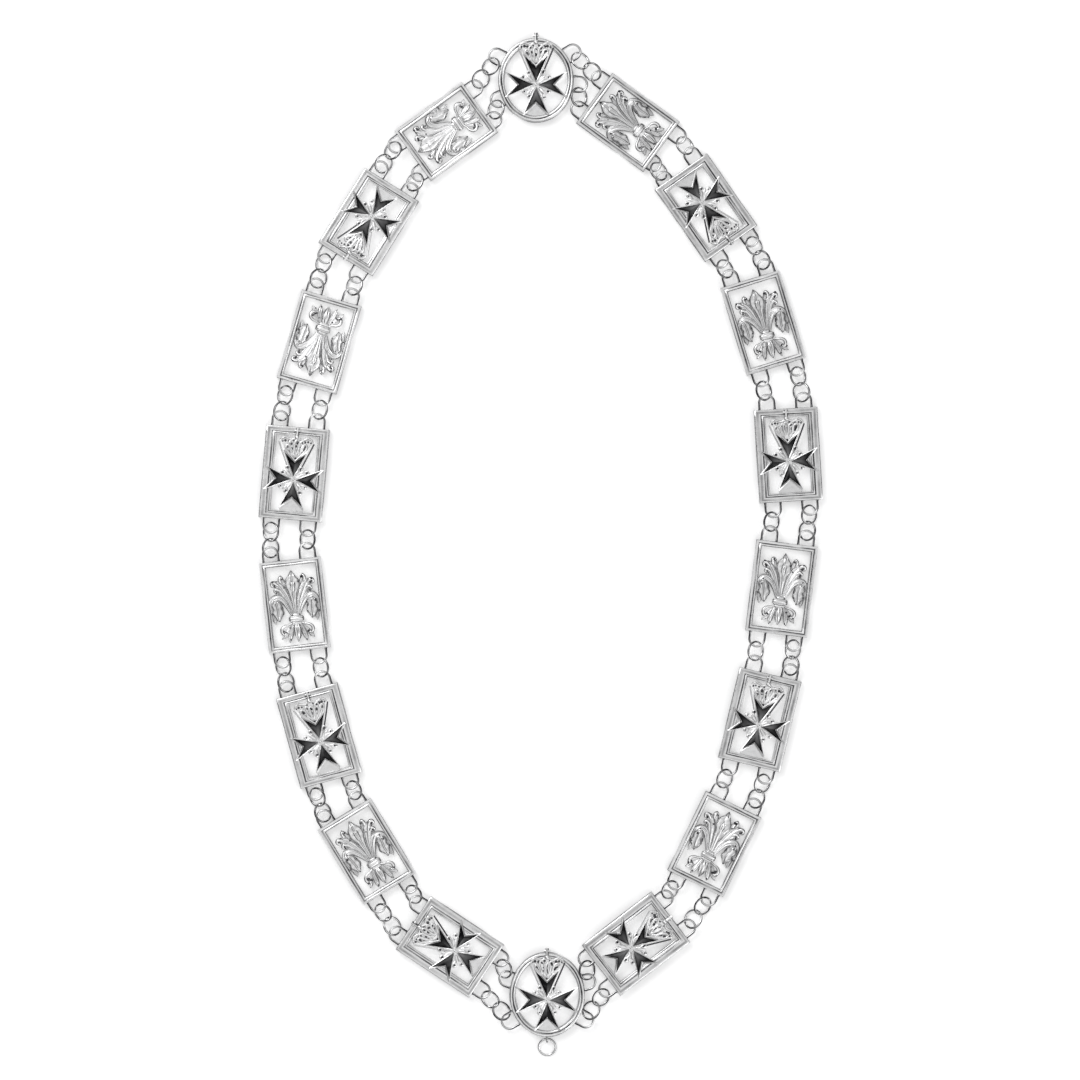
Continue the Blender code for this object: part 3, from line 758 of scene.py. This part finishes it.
def add_enamel(sculpture, tip_radius, dice):
    """Add each arm's enamel: two swelling slopes that meet in a ridge, with a painted sheen palest
    there and inward.
    """
    for quarter in range(4):
        foot, right, notch, left = arm_corners(quarter, tip_radius - ENAMEL_TIP_GAP, ENAMEL_INSET)
        notch = notch * 0.95
        for tip in (right, left):
            along = np.linspace(ENAMEL_START, 1.0, ENAMEL_ROWS)
            across = np.linspace(0.0, 1.0, ENAMEL_COLUMNS)
            outer = foot + (tip - foot) * along[:, None]
            inner = foot + (notch - foot) * along[:, None]
            top = np.zeros((ENAMEL_ROWS, ENAMEL_COLUMNS, 3))
            top[:, :, :2] = outer[:, None, :] + (inner - outer)[:, None, :] * across[None, :, None]
            swell = 0.55 * across + 0.45 * (1 - (1 - across) ** 2)
            rise = np.sin(np.minimum(1.0, along * 1.2) * math.pi / 2) ** 0.7
            slope = ARM_WIRE_HEIGHT + ENAMEL_SLOPE * along[:, None]
            top[:, :, 2] = slope + ENAMEL_RISE * swell[None, :] * rise[:, None]
            # Painted sheen: paler colour along the ridge and toward the middle, stronger on some
            # slopes at random
            pale = across[None, :] ** 0.9 * (1 - along ** 2.6)[:, None] * dice.uniform(0.2, 1.2)
            low = top[:, ::-1].copy()
            low[:, :, 2] = ENAMEL_BOTTOM
            points = np.concatenate((top, low), axis=1)
            shade = np.concatenate((1 - pale, np.ones(pale.shape)), axis=1)
            sculpture.grid(points, np.clip(shade, 0.0, 1.0), cap=True)


def add_eye(sculpture, x, y, z, radius):
    """Add a drilled eye: a dark bead of painted shade for the hole, in a thin bright collar."""
    collar = ring_path(radius + 0.1, 12) + np.array((x, y, z))
    sculpture.tube(collar, 0.2, sides=6, closed=True, flank=0.3)
    sculpture.bead(x, y, z - 0.1, radius, squash=0.4, dark=1.0)


def add_spot(sculpture, x, y, radius):
    """Add a drilled spot, a dark bead of painted shade, on top of whatever metal is there."""
    z = sculpture.top(x, y)
    if z is not None:
        sculpture.bead(x, y, z - 0.1, radius, squash=0.35, dark=1.0)


def add_sprigs(sculpture, dice):
    """Add the small cast sprig in each angle of the cross, its two curls drilled, each hole a dark
    bead of painted shade.
    """
    for quarter in range(4):
        first = len(sculpture.points)
        stem = spline(SPRIG_STEM, 16)
        sculpture.tube(stem[:, :3], stem[:, 3], sides=8, both=True, flank=0.6, spread=-0.6,
                       squash=0.8)
        for side in BOTH_SIDES:
            grow = dice.uniform(0.88, 1.02)
            curl = [(side * x * grow, y * grow, z) for x, y, z in SPRIG_CURL]
            sculpture.tube(spline(curl, 20), SPRIG_CURL_RADIUS, sides=8, both=True, flank=0.8,
                           spread=-0.6)
            x, y, z = SPRIG_CURL_EYE
            hole = dice.uniform(0.3, 0.62)
            sculpture.bead(side * x * grow, y * grow, z, hole, squash=0.4, dark=1.0)
        x, y = dice.uniform(-0.5, 0.5), dice.uniform(4.0, 5.0)
        add_eye(sculpture, x, y, SPRIG_EYE_HEIGHT, SPRIG_EYE_RADIUS)
        turn = math.pi / 4 + quarter * math.pi / 2 - math.pi / 2
        sculpture.move(Matrix.Rotation(turn, 4, "Z"), first)


def add_wire(sculpture, path, radius, count):
    """Add a bright flattened wire of the crown, with hardly any painted edge shade."""
    sculpture.tube(spline(path, count), radius, sides=10, flank=0.12, spread=-0.6, squash=0.75)


def add_crown(sculpture, dice):
    """Add the crown: circlet, five drilled arches, scalloped top, and an orb with a cross; its
    holes are dark beads of painted shade.
    """
    outline = list(CROWN_PLATE) + mirror(reversed(CROWN_PLATE), -1)
    sculpture.prism(outline, *CROWN_HEIGHTS, dark=-0.05)
    for side in BOTH_SIDES:
        add_wire(sculpture, mirror(CROWN_FOOT, side), 0.42, 16)
    for turn in CROWN_LOOPS:
        first = len(sculpture.points)
        grow = dice.uniform(0.9, 1.06)
        add_wire(sculpture, [(x, y * grow, z) for x, y, z in CROWN_LOOP], 0.44, 34)
        for y, radius in CROWN_DROPS:
            x = dice.uniform(-0.4, 0.4)
            drop = radius * dice.uniform(0.65, 1.6)
            sculpture.bead(x, y * grow + dice.uniform(-0.6, 0.6), CROWN_PIT_HEIGHT, drop,
                           squash=0.6, dark=1.0, stretch=dice.uniform(1.0, 1.9))
        lean = Matrix.Rotation(-turn - dice.uniform(-0.05, 0.05), 4, "Z")
        sculpture.move(Matrix.Translation((0.0, CROWN_ROOT, 0.0)) @ lean, first)
    for side in BOTH_SIDES:
        # The right stay is darkened all over as a painted shadow line beside the top arm; the left
        # is kept light
        sculpture.tube(spline(mirror(CROWN_STAY, side), 18), 0.36, both=True,
                       flank=0.1 if side < 0 else 1.0, spread=0.4)
        add_wire(sculpture, mirror(CROWN_TOP, side), 0.5, 20)
        for x, y, radius in CROWN_PEARLS:
            sculpture.bead(side * x, y, CROWN_PEARL_HEIGHT, radius, squash=0.6)
        for x, y, radius in CROWN_PITS:
            pit = radius * dice.uniform(0.85, 1.6)
            sculpture.bead(side * x + dice.uniform(-0.2, 0.2), y, CROWN_PIT_HEIGHT, pit,
                           squash=0.6, dark=1.0)
    sculpture.bead(*ORB, ORB_RADIUS, squash=0.6)
    # The orb's upright carries painted shade down its right side, a painted shadow beside it
    sculpture.tube(ORB_UPRIGHT, ORB_UPRIGHT_RADII, flank=1.0, spread=dice.uniform(-0.6, 0.4),
                   squash=0.5)
    sculpture.tube(ORB_BAR, ORB_BAR_RADII, sides=8, flank=0.6, spread=-0.3, squash=0.6)


def add_crowned_cross(sculpture, motif, drop, tip_radius, dice):
    """Add the cross, and its crown and sprigs as castings, with the cross below the middle."""
    lower = Matrix.Translation((0.0, -drop, 0.0))
    first = len(sculpture.points)
    add_cross(sculpture, tip_radius)
    sculpture.move(lower, first)
    add_sprigs(motif, dice)
    add_crown(motif, dice)
    motif.move(lower)


def set_piece(piece, place, rotation, replaced=None):
    """Place an object whose mesh is in its own frame, attach it to the root body, and hide the part
    it replaces.
    """
    piece.location = [c * MM for c in place]
    piece.rotation_euler = rotation
    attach(piece, "root")
    if replaced:
        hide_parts(replaced)


def jitter(stations, dice, amount):
    """Return stations moved a little, as handwork varies."""
    moved = []
    for x, y, *rest in stations:
        moved.append((x + dice.uniform(-amount, amount), y + dice.uniform(-amount, amount), *rest))
    return moved


def add_fleur(motif, dice):
    """Add the fleur-de-lis: its leaves, hanging ends, curls, bands and drilled spots, the spots and
    curl ends dark beads of painted shade.
    """
    for sides, stations in LEAVES:
        for side in sides:
            add_leaf(motif, jitter(mirror(stations, side), dice, LEAF_JITTER))
    for side in BOTH_SIDES:
        for stations in FLAGS:
            add_leaf(motif, jitter(mirror(stations, side), dice, FLAG_JITTER), shade=FLAG_SHADE,
                     ragged=FLAG_RAGGED)
    for side in BOTH_SIDES:
        for curl in CURLS:
            rows = spline(mirror(curl, side), 6 * len(curl))
            motif.tube(rows[:, :3], rows[:, 3], both=True, flank=0.7, spread=-0.6, squash=0.75)
            x, y, z, radius = curl[-1]
            # A dark bead of painted shade for the eye at the curl's end
            motif.bead(side * x, y, z + radius / 2, dice.uniform(0.35, 0.6), squash=0.5, dark=1.0)
        # The cut, a dark tube of painted shade
        rows = spline(mirror(FLAG_CUT, side), 6 * len(FLAG_CUT))
        motif.tube(rows[:, :3], rows[:, 3], flank=1.0, spread=1.2)
    for band in TIE_BANDS:
        add_leaf(motif, band, BAND_EDGE, BAND_MIDRIB)
    for x, y, radius in DRILLED_EYES:
        for side in BOTH_SIDES:
            add_spot(motif, side * x + dice.uniform(-EYE_JITTER, EYE_JITTER),
                     y + dice.uniform(-EYE_JITTER, EYE_JITTER), radius * dice.uniform(0.6, 1.5))


def make_inlay(name, place, turn, drop, tip_radius, enamel, dice):
    """Make the enamel of one plate's or badge's cross."""
    gloss = Sculpture()
    add_enamel(gloss, tip_radius, dice)
    gloss.move(Matrix.Translation((0.0, -drop, 0.0)))
    inlay = gloss.finish(name + "_enamel", enamel, sharp=10.0)
    set_piece(inlay, place, (0.0, 0.0, turn))


def make_plate(row, strands, silver, cast, enamel, dice):
    """Make one plate of the collar."""
    name = row["name"]
    place = (row["x"], row["y"], 0.0)
    turn = math.radians(row["turn"])
    if row["upright"] < 0:
        turn += math.pi
    # Painted shade by side, with a little random tone on top
    shade = SIDE_SHADE[row["side"]] + dice.uniform(-SHADE_SPREAD, SHADE_SPREAD)
    sculpture = Sculpture(shade)
    motif = Sculpture(shade)
    if row["kind"] == "cross":
        outline = rectangle(CROSS_WIDTH, row["length"], CROSS_SIDE_RAIL, CROSS_END_RAIL)
        add_frame(sculpture, outline, CROSS_PROFILE, RAIL_STEPS, dice.uniform(0, 6))
        add_crowned_cross(sculpture, motif, CROSS_DROP, TIP_RADIUS, dice)
        make_inlay(name, place, turn, CROSS_DROP, TIP_RADIUS, enamel, dice)
    else:
        outline = rectangle(FLEUR_WIDTH, row["length"], FLEUR_RAIL, FLEUR_RAIL)
        add_frame(sculpture, outline, FLEUR_PROFILE, RAIL_STEPS, dice.uniform(0, 6))
        add_fleur(motif, dice)
    set_piece(motif.finish(name + "_motif", cast), place, (0.0, 0.0, turn))
    add_lugs(sculpture, name, row["x"], row["y"], turn, strands)
    set_piece(sculpture.finish(name + "_silver", silver), place, (0.0, 0.0, turn), name)


def make_badge(badge, strands, silver, cast, enamel, dice):
    """Make one oval badge, the front one with its bail."""
    name = badge + "_badge"
    x, y = BADGES[badge]
    place = (x, y, 0.0)
    outline = oval(BADGE_HALF_WIDTH, BADGE_HALF_LENGTH, BADGE_RAIL, BADGE_STEPS)
    sculpture = Sculpture()
    add_frame(sculpture, outline, BADGE_PROFILE, 1, dice.uniform(0, 6))
    motif = Sculpture()
    add_crowned_cross(sculpture, motif, BADGE_CROSS_DROP, BADGE_TIP_RADIUS, dice)
    set_piece(motif.finish(name + "_motif", cast), place, (0.0, 0.0, 0.0))
    add_lugs(sculpture, name, x, y, 0.0, strands)
    if badge == "front":
        first = len(sculpture.points)
        path, radii, darkening = lug_path(BAIL_HEIGHT, BAIL_REACH, 0.0)
        sculpture.tube(path, radii, sides=WIRE_SIDES, flank=darkening * 0.4)
        upright = Matrix.Rotation(-math.pi / 2, 4, "Z") @ Matrix.Rotation(math.pi / 2, 4, "X")
        foot = Matrix.Translation((0.0, -BADGE_HALF_LENGTH, BAIL_MIDDLE))
        sculpture.move(foot @ upright, first)
    set_piece(sculpture.finish(name + "_silver", silver), place, (0.0, 0.0, 0.0), name)
    make_inlay(name, place, 0.0, BADGE_CROSS_DROP, BADGE_TIP_RADIUS, enamel, dice)


def make_strand(strand, silver, dice):
    """Make the loose rings of one strand."""
    start, end = strand["pulls"]
    middle = (start + end) / 2
    heading = math.atan2(end.y - start.y, end.x - start.x)
    rings = [(0.0, strand["lean"])]
    if strand["span"] > ONE_RING_LIMIT:
        pitch = RING_OUTER - 2 * WIRE + LINK_OVERLAP
        rings = [(-pitch / 2, strand["lean"]), (pitch / 2, -strand["lean"])]
    sculpture = Sculpture()
    for along, roll in rings:
        first = len(sculpture.points)
        turn = np.arange(RING_STEPS) / RING_STEPS * math.tau
        seam = np.exp(-((np.minimum(turn, math.tau - turn)) / 0.05) ** 2)
        spin = dice.uniform(0, math.tau)
        # Painted shade on the flanks: darker on the sides across the strand, lighter where the ring
        # points along it (wear at the contacts too); rise keeps it on the sides facing out and down
        darkening = (0.25 + 0.75 * np.abs(np.sin(turn + spin))) * dice.uniform(0.75, 1.0)
        rise = np.arcsin(np.sin(turn + spin) * math.sin(roll))
        path = ring_path((RING_OUTER - WIRE) / 2, RING_STEPS)
        sculpture.tube(path, WIRE / 2 * (1 - 0.14 * seam), sides=WIRE_SIDES, closed=True,
                       flank=darkening, spread=dice.uniform(0.1, 0.7), rise=rise)
        rolled = Matrix.Rotation(roll, 4, "X") @ Matrix.Rotation(spin, 4, "Z")
        sculpture.move(Matrix.Translation((along, 0.0, 0.0)) @ rolled, first)
    name = strand["name"]
    piece = sculpture.finish(name + "_wire", silver)
    set_piece(piece, (middle.x, middle.y, lug_height()), (0.0, 0.0, heading), name)


def make_drop_ring(silver):
    """Make the ring that passes through the bail and leans down to rest beyond it."""
    radius = (DROP_OUTER - WIRE) / 2
    near = BADGE_HALF_LENGTH + BAIL_REACH - WIRE - DROP_GAP - WIRE / 2
    lean = math.asin((BAIL_MIDDLE - WIRE / 2 - RING_CLEARANCE) / (2 * radius))
    x, y = BADGES["front"]
    sculpture = Sculpture()
    sculpture.tube(ring_path(radius, DROP_STEPS), WIRE / 2, sides=WIRE_SIDES, closed=True,
                   flank=0.5)
    place = (x, y - near - radius * math.cos(lean), BAIL_MIDDLE - radius * math.sin(lean))
    piece = sculpture.finish("drop_ring_wire", silver)
    set_piece(piece, place, (lean, 0.0, 0.0), "drop_ring")


def feed(tree, target, inputs):
    """Set a node's inputs to plain values, or link them to the outputs given for them."""
    for key, value in inputs.items():
        if isinstance(value, bpy.types.NodeSocket):
            tree.links.new(value, target.inputs[key])
        else:
            target.inputs[key].default_value = value


def node(tree, kind, inputs=None, **settings):
    """Add a shader node with its settings and inputs."""
    made = tree.nodes.new(kind)
    for name, value in settings.items():
        setattr(made, name, value)
    feed(tree, made, inputs or {})
    return made


def noise(tree, place, scale, detail=2.0):
    """Return the level of soft clouds of noise."""
    inputs = {"Vector": place, "Scale": scale, "Detail": detail}
    return node(tree, "ShaderNodeTexNoise", inputs).outputs["Fac"]


def remap(tree, level, source, target):
    """Return a level moved from one range to another."""
    inputs = {"Value": level, "From Min": source[0], "From Max": source[1],
              "To Min": target[0], "To Max": target[1]}
    return node(tree, "ShaderNodeMapRange", inputs).outputs[0]


def work_out(tree, operation, *terms, clamp=False):
    """Return the outcome of a sum on levels."""
    inputs = dict(enumerate(terms))
    return node(tree, "ShaderNodeMath", inputs, operation=operation, use_clamp=clamp).outputs[0]


def blend(tree, share, first, second):
    """Return a colour between two."""
    inputs = {0: share, 6: (*first, 1.0), 7: (*second, 1.0)}
    return node(tree, "ShaderNodeMix", inputs, data_type="RGBA").outputs[2]


def roughen(tree, level, strength, distance):
    """Return the surface's direction, unsettled by a level."""
    inputs = {"Height": level, "Strength": strength, "Distance": distance}
    return node(tree, "ShaderNodeBump", inputs).outputs[0]


def start_material(name):
    """Make a material and return it, its nodes, its shader and the place on the object."""
    material = bpy.data.materials.new(name)
    material.use_nodes = True
    tree = material.node_tree
    place = node(tree, "ShaderNodeTexCoord").outputs["Object"]
    return material, tree, tree.nodes["Principled BSDF"], place


def make_silver(name, bright, dull, roughness, darkening):
    """Make polished silver, darkened as its mesh says (patina in hollows, painted shade on walls,
    undersides and wire flanks), with soft stains and fine scratches.
    """
    material, tree, shader, place = start_material(name)
    # The mesh's darkness: patina in hollows and painted shade alike
    hollow = node(tree, "ShaderNodeAttribute", attribute_name="dark").outputs["Fac"]
    stains = remap(tree, noise(tree, place, 320.0, 5.0), (0.5, 0.75), (0.0, 0.16))
    total = work_out(tree, "ADD", work_out(tree, "MULTIPLY", hollow, darkening), stains, clamp=True)
    patches = noise(tree, place, 900.0, 4.0)
    stretched = node(tree, "ShaderNodeMapping", {"Vector": place, "Scale": (1.0, 0.12, 1.0)})
    scratches = noise(tree, stretched.outputs[0], 1500.0, 3.0)
    feed(tree, shader, {
        "Metallic": 1.0,
        "Base Color": blend(tree, total, bright, dull),
        "Roughness": remap(tree, patches, (0.3, 0.7), roughness),
        "Normal": roughen(tree, work_out(tree, "ADD", scratches, patches), 0.06, 0.00002),
    })
    return material


def make_enamel():
    """Make glossy black enamel, paler where the mesh paints its sheen, with a faint unevenness."""
    material, tree, shader, place = start_material("black_enamel")
    clouds = noise(tree, place, 420.0, 4.0)
    sheen_darkness = node(tree, "ShaderNodeAttribute", attribute_name="dark").outputs["Fac"]
    uneven = work_out(tree, "MULTIPLY_ADD", clouds, 0.6, -0.2)
    total = work_out(tree, "ADD", sheen_darkness, uneven, clamp=True)
    feed(tree, shader, {
        # Grey for the painted sheen, near-black for the enamel's own colour
        "Base Color": blend(tree, total, (0.24, 0.24, 0.245), (0.002, 0.002, 0.003)),
        "Roughness": remap(tree, clouds, (0.0, 1.0), (0.08, 0.2)),
        "Specular IOR Level": 0.12,
        "Coat Weight": 0.1,
        "Coat Roughness": 0.04,
        "Normal": roughen(tree, clouds, 0.2, 0.00008),
    })
    return material


def add_floor():
    """Add the pale floor that the collar lies on."""
    mesh = bmesh.new()
    bmesh.ops.create_grid(mesh, x_segments=1, y_segments=1, size=FLOOR_SIZE)
    data = bpy.data.meshes.new("floor")
    mesh.to_mesh(data)
    mesh.free()
    floor = bpy.data.objects.new("floor", data)
    floor.location = (0.0, 0.0, -FLOOR_GAP)
    bpy.context.scene.collection.objects.link(floor)
    material, tree, shader, place = start_material("white_paper")
    clouds = noise(tree, place, 6.0)
    feed(tree, shader, {
        "Base Color": blend(tree, clouds, (0.93, 0.93, 0.935), (0.96, 0.96, 0.96)),
        "Roughness": 0.9,
        "Specular IOR Level": 0.1,
        "Emission Color": (1.0, 1.0, 1.0, 1.0),
        "Emission Strength": FLOOR_GLOW,
    })
    data.materials.append(material)


def add_light(name, place, size, power):
    """Add a soft rectangular light that faces the collar."""
    light = bpy.data.lights.new(name, "AREA")
    light.shape = "RECTANGLE"
    light.size, light.size_y = size
    light.energy = power
    lamp = bpy.data.objects.new(name, light)
    bpy.context.scene.collection.objects.link(lamp)
    lamp.location = place
    lamp.rotation_euler = (-Vector(place)).to_track_quat("-Z", "Y").to_euler()


def add_world():
    """Light the set with a pale sky, dark near the horizon and dimmer to the front right."""
    world = bpy.data.worlds.new("studio")
    bpy.context.scene.world = world
    world.use_nodes = True
    tree = world.node_tree
    direction = node(tree, "ShaderNodeTexCoord").outputs["Generated"]
    split = node(tree, "ShaderNodeSeparateXYZ", {0: direction})
    ramp = node(tree, "ShaderNodeValToRGB", {0: split.outputs["Z"]})
    stops = ramp.color_ramp.elements
    for position, _ in SKY[1:-1]:
        stops.new(position)
    for stop, (_, level) in zip(stops, SKY):
        stop.color = (level, level, level, 1.0)
    toward = node(tree, "ShaderNodeVectorMath", {0: direction, 1: SKY_DIM_SIDE},
                  operation="DOT_PRODUCT")
    lean = remap(tree, split.outputs["Z"], (0.60, 0.86), (-0.9, 1.4))
    side = work_out(tree, "MULTIPLY_ADD", toward.outputs["Value"], lean, 1.0)
    square = work_out(tree, "MULTIPLY", split.outputs["X"], split.outputs["X"])
    flags = work_out(tree, "MULTIPLY_ADD", square, -1.3, 1.0, clamp=True)
    strength = work_out(tree, "MULTIPLY", side, flags)
    feed(tree, tree.nodes["Background"], {"Color": ramp.outputs[0], "Strength": strength})


def add_camera():
    """Add the camera straight above the collar."""
    lens = bpy.data.cameras.new("camera")
    lens.sensor_width = SENSOR
    lens.lens = SENSOR * CAMERA_HEIGHT / VIEW_WIDTH
    lens.clip_start = 0.05
    eye = bpy.data.objects.new("camera", lens)
    bpy.context.scene.collection.objects.link(eye)
    eye.location = (*CAMERA_PLACE, CAMERA_HEIGHT)
    bpy.context.scene.camera = eye


add_camera()
add_floor()
add_world()
for light in LIGHTS:
    add_light(*light)
bpy.context.scene.view_settings.view_transform = "Standard"

plate_silver, wire_silver, cast_silver = [make_silver(*row) for row in SILVERS]
black_enamel = make_enamel()
dice = random.Random(SEED)
strands = list_strands()
for side in ("left", "right"):
    for row in chain(side):
        make_plate(row, strands, plate_silver, cast_silver, black_enamel, dice)
for badge in BADGES:
    make_badge(badge, strands, plate_silver, cast_silver, black_enamel, dice)
for strand in strands:
    make_strand(strand, wire_silver, dice)
make_drop_ring(wire_silver)

bpy.context.view_layer.update()
